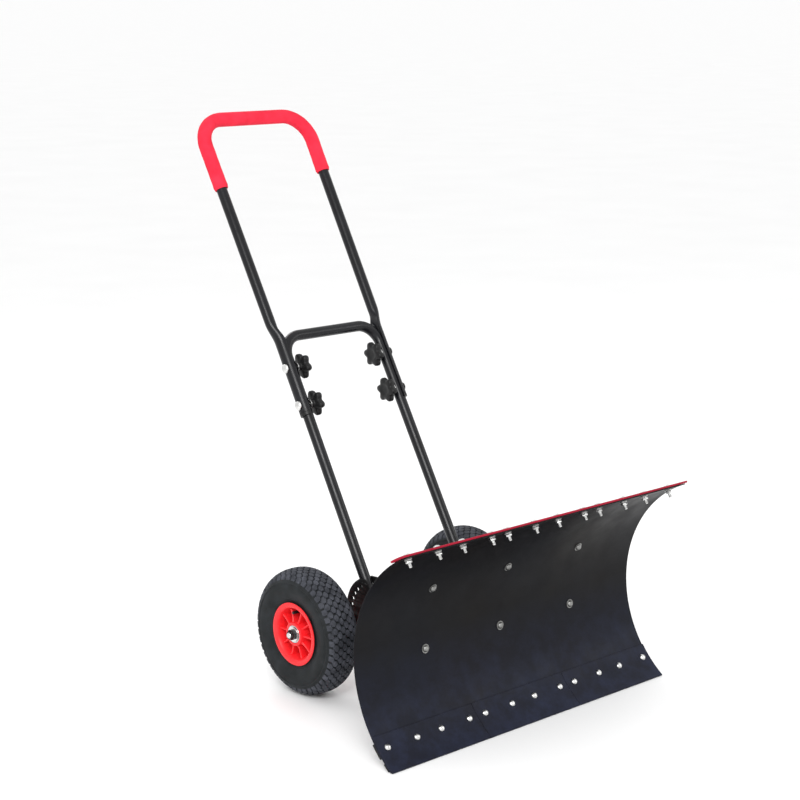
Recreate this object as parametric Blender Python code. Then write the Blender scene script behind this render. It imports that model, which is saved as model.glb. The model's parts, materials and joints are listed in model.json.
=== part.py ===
"""Wheeled snow shovel: a curved push blade on two pneumatic wheels, with a tilting U handle.

Frame: metres, +Z up, the ground at Z = 0, X across the blade, the blade faces -Y.
Places are given from the middle of the axle line on the ground; the empty ORIGIN then
shifts the whole machine so that its box is centred on the Z axis.
"""
from math import asin, atan2, cos, degrees, floor, pi, radians, sin, tau

import bmesh
import bpy
from mathutils import Vector

# ---------------------------------------------------------------- driving dimensions
CENTRING_Y = 0.0023158             # moves the box's centre onto the Z axis
GAP = 0.0003                       # clearance between touching pieces
RUNNING_FIT = 0.00006              # radial clearance of a bearing on the axle

BLADE_WIDTH = 0.740
RAIL_WIDTH = 0.757
BLADE_Y, BLADE_Z = -0.5456, 0.1928  # axis of the blade's arc
FRONT_R = 0.2340                   # front face of the sheet
SHEET_T = 0.0020
WEAR_T = 0.0030                    # three replaceable wear strips in front of the sheet
BAR_T = 0.0050                     # the ribs and the lower clamp bar
RAIL_T = 0.0040
HEM_T = 0.0035
TOP_ANGLE = 67.2                   # arc angles are in degrees above the +Y direction
RAIL_FOOT_ANGLE = 57.0
HEM_TOP_ANGLE = -49.6
CLAMP_HALF_ANGLE = 3.6
TOP_BOLT_ANGLE = 60.0
LOW_BOLT_ANGLE = -43.4
WEAR_TOP_ANGLE = -37.0
STRIP_BOLTS = (-0.1025, -0.0305, 0.0305, 0.1025)
RIB_XS = (-0.197, 0.0, 0.197)
RIB_WIDTH = 0.030
RIB_BOLT_ANGLES = (-6.5, 24.0)
ANGLE_LEG = 0.030                  # steel angle cross members
ANGLE_T = 0.003
ANGLE_WIDTH = 0.460
BOLT_R, BOLT_HOLE_R = 0.0030, 0.0034
TOP_BOLT_REACH = 0.0150            # in front of the sheet
BOLT_TAIL = 0.0080                 # behind the plate that a bolt clamps

WHEEL_R = 0.1261                   # 10 inch pneumatic wheel
WHEEL_X = 0.2199                   # middle of each wheel
HUB_HALF = 0.0343
AXLE_R = 0.0080
AXLE_END_R = 0.0060
RIM_R = 0.0629
BEARING_R, BEARING_W = 0.0175, 0.0110
AXLE_END = 0.0136                  # how far the axle reaches past the hub's face
SPACER_R = 0.0115

LEG_TILT = radians(30.26)          # the handle leans back from the vertical
LEG_Y, LEG_Z = -0.1147, 0.1483     # the point of the leg plane where L = 0
TUBE_R, TUBE_BORE = 0.0110, 0.0095
LOWER_FOOT_X, LOWER_TOP_X = 0.1278, 0.1243
UPPER_FOOT_X, UPPER_TOP_X = 0.1357, 0.1412
LOWER_FOOT_L, LOWER_TOP_L = 0.0050, 0.6063
UPPER_FOOT_L, UPPER_TOP_L = 0.4453, 1.0924
LOWER_BEND_R, UPPER_BEND_R = 0.045, 0.060
CRADLE_TOP_L, ROUND_L = 0.596, 0.640
CRADLE_IN_R, CRADLE_OUT_R = 0.0113, 0.0150
HANDLE_BOLT_LS = (0.461, 0.541)
HANDLE_BOLT_R, HANDLE_HOLE_R = 0.0040, 0.0044
KNOB_WASHER_T = 0.0015
KNOB_R = 0.0235
GRIP_FOOT_LS = (0.937, 0.959)      # the foam reaches lower on the left leg
GRIP_R = 0.0146

PIVOT_Y, PIVOT_Z = -0.1020, 0.1700
PLATE_XS = (0.1140, 0.1420)        # middles of the inner and outer side plate
PLATE_T = 0.0040
PIVOT_BOLT_R, PIVOT_HOLE_R = 0.0050, 0.0054
LOCK_PIN_R = 0.0032
SECTOR_R = 0.0700
INDEX_R, INDEX_HOLE_R = 0.0550, 0.0036
INDEX_STEP, INDEX_COUNT = 13.5, 5  # degrees between the tilt holes

BOLT_SIDES = 6
TUBE_SIDES = 12
FLAT_STEP = 6.0                    # the blade's arc is made of flats of this many degrees
WHEEL_SIDES = 24

LEG_UP = Vector((0, sin(LEG_TILT), cos(LEG_TILT)))
LEG_BACK = Vector((0, cos(LEG_TILT), -sin(LEG_TILT)))
LEG_BASE = Vector((0, LEG_Y, LEG_Z))
ACROSS = Vector((1, 0, 0))

for old in list(bpy.data.objects):
    bpy.data.objects.remove(old, do_unlink=True)


# ---------------------------------------------------------------- materials
def material(name, colour, roughness, metallic=0.0):
    mat = bpy.data.materials.new(name)
    mat.use_nodes = True
    shader = mat.node_tree.nodes["Principled BSDF"]
    shader.inputs["Base Color"].default_value = (*colour, 1)
    shader.inputs["Roughness"].default_value = roughness
    shader.inputs["Metallic"].default_value = metallic
    return mat


BLADE = material("blade_black", (0.012, 0.012, 0.014), 0.42)
BLACK = material("black_powder_coat", (0.012, 0.012, 0.014), 0.28)
RED = material("red_powder_coat", (0.50, 0.010, 0.020), 0.35)
ZINC = material("zinc_plate", (0.62, 0.62, 0.60), 0.32, 1.0)
RUBBER = material("tyre_rubber", (0.022, 0.023, 0.026), 0.75)
RIM_RED = material("rim_red", (0.62, 0.018, 0.020), 0.35)
FOAM = material("foam_red", (0.50, 0.018, 0.032), 0.80)
PLASTIC = material("black_plastic", (0.015, 0.015, 0.016), 0.45)


# ---------------------------------------------------------------- helpers
def empty(name, location, parent=None):
    holder = bpy.data.objects.new(name, None)
    bpy.context.collection.objects.link(holder)
    holder.location = location
    holder.parent = parent
    return holder


ORIGIN = empty("origin_frame", (0, CENTRING_Y, 0))
PIVOT = Vector((0, PIVOT_Y, PIVOT_Z))
TILT_FRAME = empty("tilt_frame", PIVOT, ORIGIN)


def finish(name, bm, mat, at=(0, 0, 0), parent=ORIGIN):
    """Turn bm, modelled in the parent's axes about the point at, into a named object."""
    bmesh.ops.recalc_face_normals(bm, faces=bm.faces)
    mesh = bpy.data.meshes.new(name)
    bm.to_mesh(mesh)
    bm.free()
    mesh.shade_smooth()
    mesh.set_sharp_from_angle(angle=radians(35))
    obj = bpy.data.objects.new(name, mesh)
    bpy.context.collection.objects.link(obj)
    mesh.materials.append(mat)
    obj.location = at
    obj.parent = parent
    return obj


def skin_rings(bm, rings, closed):
    """Bridge rings of points that all have the same count; closed joins the last to the first."""
    rows = [[bm.verts.new(p) for p in ring] for ring in rings]
    count = len(rings[0])
    pairs = list(zip(rows, rows[1:]))
    if closed:
        pairs.append((rows[-1], rows[0]))
    for low, high in pairs:
        for i in range(count):
            j = (i + 1) % count
            bm.faces.new((low[i], low[j], high[j], high[i]))
    if not closed:
        bm.faces.new(rows[0])
        bm.faces.new(rows[-1])


def turned(bm, profile, centre=(0, 0, 0), axis=ACROSS, sides=16):
    """Turn a profile of (along the axis, radius) about an axis.

    A profile with a bore is a closed loop. One that starts and ends at radius 0 is solid."""
    axis = Vector(axis).normalized()
    side = axis.orthogonal().normalized()
    if abs(axis.x) > 0.99:
        side = Vector((0, 0, 1))
    other = axis.cross(side)
    centre = Vector(centre)
    solid = profile[0][1] == 0
    ring_points = profile[1:-1] if solid else profile
    rows = []
    for along, radius in ring_points:
        spots = []
        for k in range(sides):
            turn = tau * k / sides
            spots.append(centre + axis * along + (side * cos(turn) + other * sin(turn)) * radius)
        rows.append(spots)
    skin_rings(bm, rows, closed=not solid)


def round_hole(radius, sides):
    """The corner radius of a many-sided hole whose flats just clear a round of that radius."""
    return radius / cos(pi / sides)


def hexagon(bm, centre, axis, start, end, across_flats, bore):
    corner = round_hole(across_flats / 2, 6)
    hole = round_hole(bore, 6)
    loop = [(start, corner), (end, corner), (end, hole), (start, hole)]
    turned(bm, loop, centre, axis, sides=6)


def arc_point(radius, angle, x=0.0):
    turn = radians(angle)
    return Vector((x, BLADE_Y + radius * cos(turn), BLADE_Z + radius * sin(turn)))


def radial(angle):
    return Vector((0, cos(radians(angle)), sin(radians(angle))))


def ground_angle(radius):
    """The arc angle where a layer's outer face meets the ground."""
    return -degrees(asin(BLADE_Z / radius))


def flat_point(radius, angle):
    """A point on the flats that stand for the arc; all layers share the same flats."""
    middle = (floor(angle / FLAT_STEP) + 0.5) * FLAT_STEP
    return arc_point(radius * cos(radians(FLAT_STEP / 2)) / cos(radians(angle - middle)), angle)


def arc_layer(name, mat, inner, outer, low, high, width, x=0.0):
    """A curved plate that follows the blade's arc."""
    angles = [low]
    angles += [k * FLAT_STEP for k in range(-12, 13) if low + 0.1 < k * FLAT_STEP < high - 0.1]
    angles += [high]
    outline = [flat_point(inner, a) for a in angles] + [flat_point(outer, a) for a in reversed(angles)]
    return prism(name, mat, outline, x - width / 2, x + width / 2)


def prism(name, mat, outline, x_low, x_high, parent=ORIGIN, at=(0, 0, 0)):
    """Extrude a YZ outline along X."""
    bm = bmesh.new()
    ends = []
    for x in (x_low, x_high):
        ends.append([bm.verts.new((x, p[1] if len(p) == 3 else p[0], p[-1])) for p in outline])
    count = len(outline)
    for i in range(count):
        j = (i + 1) % count
        bm.faces.new((ends[0][i], ends[0][j], ends[1][j], ends[1][i]))
    bm.faces.new(ends[0])
    bm.faces.new(ends[1])
    return finish(name, bm, mat, at, parent)


def combine(target, bm, operation):
    """Cut the closed shapes in bm from the target, or fuse them to it."""
    tool = finish(operation.lower() + "_" + target.name, bm, BLACK, target.location, target.parent)
    tool.hide_render = True
    tool.display_type = "WIRE"
    step = target.modifiers.new(operation.lower(), "BOOLEAN")
    step.operation = operation
    step.solver = "EXACT"
    step.object = tool


def drill(target, holes):
    """Cut round holes, each (point on its axis, axis, radius, half length)."""
    bm = bmesh.new()
    for centre, axis, radius, half in holes:
        corner = round_hole(radius, BOLT_SIDES)
        turned(bm, [(-half, 0), (-half, corner), (half, corner), (half, 0)], centre, axis,
               BOLT_SIDES)
    combine(target, bm, "DIFFERENCE")


def fasteners(name, mat, places, build, parent=ORIGIN, at=(0, 0, 0)):
    """One object for each place: a dictionary of name ending to (centre, axis)."""
    for ending, (centre, axis) in places.items():
        bm = bmesh.new()
        build(bm, centre, axis)
        finish(f"{name}_{ending}", bm, mat, at, parent)


# ---------------------------------------------------------------- blade
BACK_R = FRONT_R + SHEET_T
LAYER_R = BACK_R + GAP
STRIP_WIDTH = BLADE_WIDTH / 3
STRIP_XS = [k * STRIP_WIDTH for k in (-1, 0, 1)]
BOLT_XS = [x + dx for x in STRIP_XS for dx in STRIP_BOLTS]


def row_places(angle, xs):
    return [(arc_point(FRONT_R, angle, x), radial(angle)) for x in xs]


def row_holes(angle, xs):
    return [(spot, axis, BOLT_HOLE_R, 0.02) for spot, axis in row_places(angle, xs)]


RIB_HOLES = [hole for a in RIB_BOLT_ANGLES for hole in row_holes(a, RIB_XS)]


def studs(target, places, profile):
    """Fuse one bolt, turned from profile, to the target at each place."""
    bm = bmesh.new()
    for spot, axis in places:
        turned(bm, profile, spot, axis, BOLT_SIDES)
    combine(target, bm, "UNION")


def domed_bolt(front, tail):
    """A low head that sits on the face at front, with its shank out to tail behind it."""
    return [(front - 0.0042, 0), (front - 0.0042, 0.0038), (front, 0.0065),
            (front + 0.0001, BOLT_R), (tail, BOLT_R), (tail, 0)]


def build_blade():
    """The sheet, with what bolts to its two faces. Each bolt is fused to the plate that it clamps."""
    sheet = arc_layer("blade_sheet", BLADE, FRONT_R, BACK_R, ground_angle(BACK_R), TOP_ANGLE,
                      BLADE_WIDTH)
    drill(sheet, row_holes(TOP_BOLT_ANGLE, BOLT_XS) + row_holes(LOW_BOLT_ANGLE, BOLT_XS) + RIB_HOLES)

    wear_out = FRONT_R - GAP
    lower_bolt = domed_bolt(-GAP - WEAR_T, SHEET_T + GAP + BAR_T + BOLT_TAIL)
    for side, x in zip(("left", "center", "right"), STRIP_XS):
        strip = arc_layer("wear_strip_" + side, BLADE, wear_out - WEAR_T, wear_out,
                          ground_angle(wear_out), WEAR_TOP_ANGLE, STRIP_WIDTH - 2 * GAP, x)
        studs(strip, row_places(LOW_BOLT_ANGLE, [x + dx for dx in STRIP_BOLTS]), lower_bolt)

    rail = arc_layer("top_rail", RED, LAYER_R, LAYER_R + RAIL_T, RAIL_FOOT_ANGLE, TOP_ANGLE,
                     RAIL_WIDTH)
    head = SHEET_T + GAP + RAIL_T
    top_bolt = [(-TOP_BOLT_REACH, 0), (-TOP_BOLT_REACH, BOLT_R), (head - 0.0001, BOLT_R), (head, 0.0058),
                (head + 0.0040, 0.0058), (head + 0.0040, 0)]
    studs(rail, row_places(TOP_BOLT_ANGLE, BOLT_XS), top_bolt)

    clamp = arc_layer("lower_clamp_bar", BLACK, LAYER_R, LAYER_R + BAR_T,
                      LOW_BOLT_ANGLE - CLAMP_HALF_ANGLE, LOW_BOLT_ANGLE + CLAMP_HALF_ANGLE,
                      BLADE_WIDTH)
    drill(clamp, row_holes(LOW_BOLT_ANGLE, BOLT_XS))
    hem_out = LAYER_R + HEM_T
    arc_layer("bottom_edge_bar", BLACK, LAYER_R, hem_out, ground_angle(hem_out), HEM_TOP_ANGLE,
              BLADE_WIDTH)

    gap_angle = degrees(GAP / FRONT_R)
    rib_bolt = domed_bolt(-0.0015, SHEET_T + GAP + BAR_T + GAP + ANGLE_T + BOLT_TAIL)
    for side, x in zip(("left", "center", "right"), RIB_XS):
        rib = arc_layer("rib_" + side, RED, LAYER_R, LAYER_R + BAR_T,
                        LOW_BOLT_ANGLE + CLAMP_HALF_ANGLE + gap_angle,
                        RAIL_FOOT_ANGLE - gap_angle,
                        RIB_WIDTH, x)
        studs(rib, [(arc_point(FRONT_R, a, x), radial(a)) for a in RIB_BOLT_ANGLES], rib_bolt)


def cross_angle(name, angle, shelf):
    """A steel angle: one flange against the ribs, one shelf that points back from them."""
    face = LAYER_R + BAR_T + GAP
    half = ANGLE_LEG / 2
    low, high = (-half, -half + ANGLE_T) if shelf < 0 else (half, half - ANGLE_T)
    corners = [(face, low), (face + ANGLE_LEG, low), (face + ANGLE_LEG, high),
               (face + ANGLE_T, high), (face + ANGLE_T, -low), (face, -low)]
    out = radial(angle)
    along = Vector((0, -out.z, out.y))
    axis_point = Vector((0, BLADE_Y, BLADE_Z))
    outline = [axis_point + out * r + along * t for r, t in corners]
    bar = prism(name, RED, outline, -ANGLE_WIDTH / 2, ANGLE_WIDTH / 2)
    drill(bar, [(arc_point(face, angle, x), out, BOLT_HOLE_R, 0.012) for x in RIB_XS])


# ---------------------------------------------------------------- side plates and axle
def arc_outline(centre_y, centre_z, radius, start, end, steps):
    spots = []
    for k in range(steps + 1):
        turn = radians(start + (end - start) * k / steps)
        spots.append((centre_y + radius * cos(turn), centre_z + radius * sin(turn)))
    return spots


def frame_point(angle, radius, along):
    """A YZ point at a radius and a tangential distance, in a cross angle's own directions."""
    out = radial(angle)
    return (BLADE_Y + out.y * radius - out.z * along, BLADE_Z + out.z * radius + out.y * along)


def build_side_plates():
    low = RIB_BOLT_ANGLES[0]
    front_r = LAYER_R + BAR_T + GAP + ANGLE_T + GAP
    shelf = -ANGLE_LEG / 2 + ANGLE_T + GAP
    outline = [frame_point(low, front_r, 0.014), frame_point(low, front_r, shelf),
               frame_point(low, front_r + ANGLE_LEG + 0.002, shelf)]
    outline += arc_outline(0.0, WHEEL_R, 0.021, -96, 62, 7)
    outline += arc_outline(PIVOT_Y, PIVOT_Z, SECTOR_R, -12, 64, 8)
    outline += arc_outline(PIVOT_Y + 0.0185, PIVOT_Z + 0.0515, 0.0120, 72, 168, 4)
    outline += [(PIVOT_Y - 0.018, PIVOT_Z + 0.030), (PIVOT_Y - 0.045, PIVOT_Z + 0.014)]
    leg_angle = 90 - degrees(LEG_TILT)
    holes = [(PIVOT, ACROSS, PIVOT_HOLE_R, 0.3), (Vector((0, 0, WHEEL_R)), ACROSS, AXLE_R + GAP, 0.3)]
    for k in range(INDEX_COUNT):
        turn = radians(leg_angle - k * INDEX_STEP)
        spot = PIVOT + Vector((0, cos(turn), sin(turn))) * INDEX_R
        holes.append((spot, ACROSS, INDEX_HOLE_R, 0.3))
    for side, sign in (("left", -1), ("right", 1)):
        for place, x in zip(("inner", "outer"), PLATE_XS):
            middle = sign * x
            plate = prism(f"side_plate_{side}_{place}", BLACK, outline,
                          middle - PLATE_T / 2, middle + PLATE_T / 2)
            drill(plate, holes)


def build_braces():
    """A flat brace on each outer plate, up to the upper cross angle."""
    high = RIB_BOLT_ANGLES[1]
    front_r = LAYER_R + BAR_T + GAP + ANGLE_T + GAP
    roof = ANGLE_LEG / 2 - ANGLE_T - GAP
    outline = [frame_point(high, front_r, roof), frame_point(high, front_r, roof - 0.024),
               (-0.200, 0.158), (-0.170, 0.163), frame_point(high, front_r + 0.024, roof)]
    x = PLATE_XS[1] + PLATE_T / 2 + GAP
    for side, sign in (("left", -1), ("right", 1)):
        low_x, high_x = sorted((sign * x, sign * (x + PLATE_T)))
        prism("brace_" + side, BLACK, outline, low_x, high_x)


def build_axle():
    centre = Vector((0, 0, WHEEL_R))
    hub_face = WHEEL_X + HUB_HALF
    step = hub_face - 0.001
    end = hub_face + AXLE_END
    bm = bmesh.new()
    turned(bm, [(-end, 0), (-end, AXLE_END_R), (-step, AXLE_END_R), (-step, AXLE_R), (step, AXLE_R),
                (step, AXLE_END_R), (end, AXLE_END_R), (end, 0)], centre, ACROSS, TUBE_SIDES)
    finish("axle", bm, ZINC)

    inner = PLATE_XS[1] + PLATE_T / 2 + GAP
    sides = {"left": (centre, -ACROSS), "right": (centre, ACROSS)}

    def spacer(bm, spot, axis):
        outer = WHEEL_X - HUB_HALF - GAP
        loop = [(inner, SPACER_R), (outer, SPACER_R), (outer, AXLE_R + GAP), (inner, AXLE_R + GAP)]
        turned(bm, loop, spot, axis, TUBE_SIDES)

    def washer(bm, spot, axis):
        bore = round_hole(AXLE_END_R + GAP, 16)
        loop = [(hub_face + GAP, 0.0150), (hub_face + 0.0023, 0.0150), (hub_face + 0.0023, bore),
                (hub_face + GAP, bore)]
        turned(bm, loop, spot, axis, 16)

    def nut(bm, spot, axis):
        hexagon(bm, spot, axis, hub_face + 0.0026, hub_face + 0.0116, 0.0180, AXLE_END_R + GAP)

    fasteners("axle_spacer", ZINC, sides, spacer)
    fasteners("axle_washer", ZINC, sides, washer)
    fasteners("axle_nut", ZINC, sides, nut)


# ---------------------------------------------------------------- wheels
def build_wheel(side, sign):
    """All profiles are (out from the wheel's middle plane, radius)."""
    hub = empty("hub_" + side, (sign * WHEEL_X, 0, WHEEL_R), ORIGIN)

    def turn(name, mat, loop, sides=WHEEL_SIDES):
        bm = bmesh.new()
        turned(bm, loop, axis=ACROSS * sign, sides=sides)
        finish(name + side, bm, mat, parent=hub)

    half = [(0.0120, WHEEL_R), (0.0262, WHEEL_R - 0.0062), (0.0363, 0.1070), (0.0390, 0.0940),
            (0.0363, 0.0790), (0.0293, 0.0650), (0.0283, 0.0540)]
    casing = [(0.0215, 0.0540), (0.0240, 0.0700), (0.0325, 0.0900), (0.0280, 0.1090), (0.0120, 0.1180)]
    out = half + casing
    turn("tyre_", RUBBER, out + [(-x, r) for x, r in reversed(out) if x > 0])
    turns = [tau * k / 8 for k in range(8)]
    turn("inner_tube_", RUBBER, [(0.0215 * cos(a), 0.0880 + 0.0235 * sin(a)) for a in turns], 20)
    pocket = round_hole(BEARING_R, WHEEL_SIDES) + GAP
    seat = HUB_HALF - BEARING_W - GAP
    rim_half = [(0.0350, RIM_R), (0.0350, 0.0500), (0.0325, 0.0500), (0.0040, 0.0470), (0.0040, 0.0240),
                (HUB_HALF, 0.0240), (HUB_HALF, pocket), (seat, pocket), (seat, 0.0130)]
    outer_half = [(0.0303, RIM_R), (0.0286, 0.0535), (0.0190, 0.0520)]
    rim = rim_half + [(-x, r) for x, r in reversed(rim_half)]
    rim += [(-x, r) for x, r in outer_half] + list(reversed(outer_half))
    turn("rim_", RIM_RED, rim)

    for place, face in (("inner", -1), ("outer", 1)):
        near, far = face * (HUB_HALF - BEARING_W), face * (HUB_HALF - GAP)
        bore = round_hole(AXLE_R + RUNNING_FIT, 16)
        loop = [(near, BEARING_R), (far, BEARING_R), (far, bore), (near, bore)]
        turn(f"bearing_{place}_", ZINC, loop, 16)
    reach = HUB_HALF - BEARING_W - GAP
    turn("bearing_spacer_", ZINC, [(-reach, 0.0112), (reach, 0.0112), (reach, 0.0085), (-reach, 0.0085)],
         TUBE_SIDES)
    bm = bmesh.new()
    stem = [(0.0, 0), (0.0, 0.0030), (0.023, 0.0030), (0.025, 0.0020), (0.029, 0.0020), (0.029, 0)]
    turned(bm, stem, (sign * 0.0070, 0, 0.0440), ACROSS * sign, 8)
    finish("valve_stem_" + side, bm, PLASTIC, parent=hub)


# ---------------------------------------------------------------- handle
def leg_point(x, length, back=0.0):
    """A point of the leg plane, measured from the tilt axis."""
    return LEG_BASE - PIVOT + ACROSS * x + LEG_UP * length + LEG_BACK * back


def u_route(foot_x, foot_l, top_x, top_l, bend_r, steps=4):
    """Centre line of an upside-down U as (x, length) points, from the left foot to the right."""
    lean = atan2(top_x - foot_x, top_l - foot_l)
    half = [(-foot_x, foot_l)]
    corner = (-(top_x - bend_r), top_l - bend_r)
    for k in range(steps + 1):
        turn = pi + lean - (pi / 2 + lean) * k / steps
        half.append((corner[0] + bend_r * cos(turn), corner[1] + bend_r * sin(turn)))
    return half + [(-x, l) for x, l in reversed(half)]


def pipe_ring(spot, heading, radius, sides):
    """A ring square to heading, where both lie in the leg plane."""
    side = heading.cross(LEG_BACK).normalized()
    ring = []
    for k in range(sides):
        turn = tau * k / sides
        ring.append(spot + (side * cos(turn) + LEG_BACK * sin(turn)) * radius)
    return ring


def headings(spots):
    result = []
    for i, spot in enumerate(spots):
        before = spots[max(i - 1, 0)]
        after = spots[min(i + 1, len(spots) - 1)]
        if 0 < i < len(spots) - 1:
            result.append(((spot - before).normalized() + (after - spot).normalized()).normalized())
        else:
            result.append((after - before).normalized())
    return result


def pipe(bm, route, outer, bore, sides=TUBE_SIDES):
    """A hollow pipe along (x, length) points: outer skin, then back along the bore."""
    spots = [leg_point(x, l) for x, l in route]
    ways = headings(spots)
    skin = [pipe_ring(s, w, outer, sides) for s, w in zip(spots, ways)]
    inside = [pipe_ring(s, w, bore, sides) for s, w in zip(spots, ways)]
    skin_rings(bm, skin + list(reversed(inside)), closed=True)


def cradle_ring(sign, length, blend, wall, half_count=7):
    """Section of an upper leg, from a cradle on the lower tube (blend 0) to a round tube (1)."""
    lower_x = lower_leg_x(length)
    upper_x = upper_leg_x(length)
    out_r, in_r = CRADLE_OUT_R - wall, CRADLE_IN_R + wall
    spread = radians(88) - wall / CRADLE_OUT_R
    ring = []
    for k in range(2 * half_count):
        outside = k < half_count
        share = (k if outside else k - half_count) / (half_count - 1)
        cradle_turn = spread * (1 - 2 * share) * (1 if outside else -1)
        radius = out_r if outside else in_r
        cradle = Vector((lower_x + radius * cos(cradle_turn), radius * sin(cradle_turn)))
        round_turn = pi / 2 - pi * (k + 0.5) / half_count
        tube = Vector((upper_x, 0)) + Vector((cos(round_turn), sin(round_turn))) * (TUBE_R - wall)
        spot = cradle.lerp(tube, blend)
        ring.append(leg_point(sign * spot.x, length, spot.y))
    return ring


def lower_leg_x(length):
    share = (length - LOWER_FOOT_L) / (LOWER_TOP_L - LOWER_FOOT_L)
    return LOWER_FOOT_X + (LOWER_TOP_X - LOWER_FOOT_X) * share


def upper_leg_x(length):
    share = (length - UPPER_FOOT_L) / (UPPER_TOP_L - UPPER_FOOT_L)
    return UPPER_FOOT_X + (UPPER_TOP_X - UPPER_FOOT_X) * share


def handle_bolt_holes():
    return [(leg_point(0, length), ACROSS, HANDLE_HOLE_R, 0.2) for length in HANDLE_BOLT_LS]


def build_lower_frame():
    bm = bmesh.new()
    route = u_route(LOWER_FOOT_X, LOWER_FOOT_L, LOWER_TOP_X, LOWER_TOP_L, LOWER_BEND_R)
    pipe(bm, route, TUBE_R, TUBE_BORE)
    frame = finish("lower_handle_frame", bm, BLACK, parent=TILT_FRAME)
    lock = LEG_UP * INDEX_R
    pivot_hole = (Vector((0, 0, 0)), ACROSS, PIVOT_HOLE_R, 0.2)
    drill(frame, handle_bolt_holes() + [pivot_hole, (lock, ACROSS, INDEX_HOLE_R, 0.2)])


def upper_rings(wall, sides=14):
    """Rings of the whole upper handle at a depth of wall below its outer skin."""
    up = [(UPPER_FOOT_L, 0.0), (CRADLE_TOP_L, 0.0), ((CRADLE_TOP_L + ROUND_L) / 2, 0.5), (ROUND_L, 1.0)]
    left = [cradle_ring(-1, length, blend, wall) for length, blend in up]
    right = [cradle_ring(1, length, blend, wall) for length, blend in reversed(up)]
    half_turn = pi / sides
    spots = [leg_point(x, l) for x, l in
             u_route(UPPER_FOOT_X, UPPER_FOOT_L, UPPER_TOP_X, UPPER_TOP_L, UPPER_BEND_R)]
    bend = []
    for spot, way in list(zip(spots, headings(spots)))[1:-1]:
        side = LEG_BACK.cross(way).normalized()
        turns = [pi / 2 - half_turn - tau * k / sides for k in range(sides)]
        bend.append([spot + (side * -cos(t) + LEG_BACK * sin(t)) * (TUBE_R - wall) for t in turns])
    return left + bend + right


def build_upper_handle():
    wall = TUBE_R - TUBE_BORE
    bm = bmesh.new()
    skin_rings(bm, upper_rings(0.0) + list(reversed(upper_rings(wall))), closed=True)
    handle = finish("upper_handle", bm, BLACK, parent=TILT_FRAME)
    drill(handle, handle_bolt_holes())

    bm = bmesh.new()
    route = u_route(UPPER_FOOT_X, UPPER_FOOT_L, UPPER_TOP_X, UPPER_TOP_L, UPPER_BEND_R)
    left_l, right_l = GRIP_FOOT_LS
    route[0], route[-1] = (-upper_leg_x(left_l), left_l), (upper_leg_x(right_l), right_l)
    pipe(bm, route, GRIP_R, TUBE_R + 0.0007, 12)
    finish("foam_grip", bm, FOAM, parent=TILT_FRAME)

    for side, sign in (("left", -1), ("right", 1)):
        top, bottom = UPPER_FOOT_L - GAP, UPPER_FOOT_L - 0.0075
        rings = [cradle_ring(sign, length, 0.0, 0.0) for length in (bottom, top)]
        bm = bmesh.new()
        skin_rings(bm, rings, closed=False)
        finish("leg_end_cap_" + side, bm, PLASTIC, parent=TILT_FRAME)


def handle_bolt_places():
    places = {}
    for height, length in zip(("lower", "upper"), HANDLE_BOLT_LS):
        for side, sign in (("left", -1), ("right", 1)):
            spot = leg_point(sign * lower_leg_x(length), length)
            places[f"{height}_{side}"] = (spot, ACROSS * sign)
    return places


def build_handle_hardware():
    seat = CRADLE_OUT_R + GAP
    inner = -TUBE_R - GAP

    def carriage_bolt(bm, spot, axis):
        turned(bm, [(seat + 0.0048, 0), (seat + 0.0048, 0.0035), (seat + 0.0036, 0.0070), (seat, 0.0095),
                    (seat, HANDLE_BOLT_R), (inner - 0.0150, HANDLE_BOLT_R), (inner - 0.0150, 0)],
               spot, axis, TUBE_SIDES)

    fasteners("handle_bolt", ZINC, handle_bolt_places(), carriage_bolt, TILT_FRAME)

    inside = PLATE_XS[0] - PLATE_T / 2
    outside = PLATE_XS[1] + PLATE_T / 2
    pivots = {"left": (Vector((0, 0, 0)), -ACROSS), "right": (Vector((0, 0, 0)), ACROSS)}

    def pivot_bolt(bm, spot, axis):
        head = outside + GAP
        turned(bm, [(head + 0.0064, 0), (head + 0.0064, 0.0092), (head, 0.0092),
                    (head, PIVOT_BOLT_R), (inside - 0.0120, PIVOT_BOLT_R), (inside - 0.0120, 0)],
               spot, axis, BOLT_SIDES)

    def pivot_nut(bm, spot, axis):
        hexagon(bm, spot, axis, inside - GAP - 0.0080, inside - GAP, 0.0160, PIVOT_HOLE_R)

    fasteners("pivot_bolt", ZINC, pivots, pivot_bolt, ORIGIN, PIVOT)
    fasteners("pivot_nut", ZINC, pivots, pivot_nut, ORIGIN, PIVOT)

    def lock_pin(bm, spot, axis):
        reach = TUBE_R
        turned(bm, [(-reach, 0), (-reach, 0.0020), (-reach + 0.0012, LOCK_PIN_R),
                    (reach - 0.0012, LOCK_PIN_R), (reach, 0.0020), (reach, 0)], spot, axis, 10)

    lock_l = (PIVOT - LEG_BASE).length + INDEX_R
    locks = {side: (leg_point(sign * lower_leg_x(lock_l), lock_l), ACROSS)
             for side, sign in (("left", -1), ("right", 1))}
    fasteners("tilt_lock_pin", ZINC, locks, lock_pin, TILT_FRAME)


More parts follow.
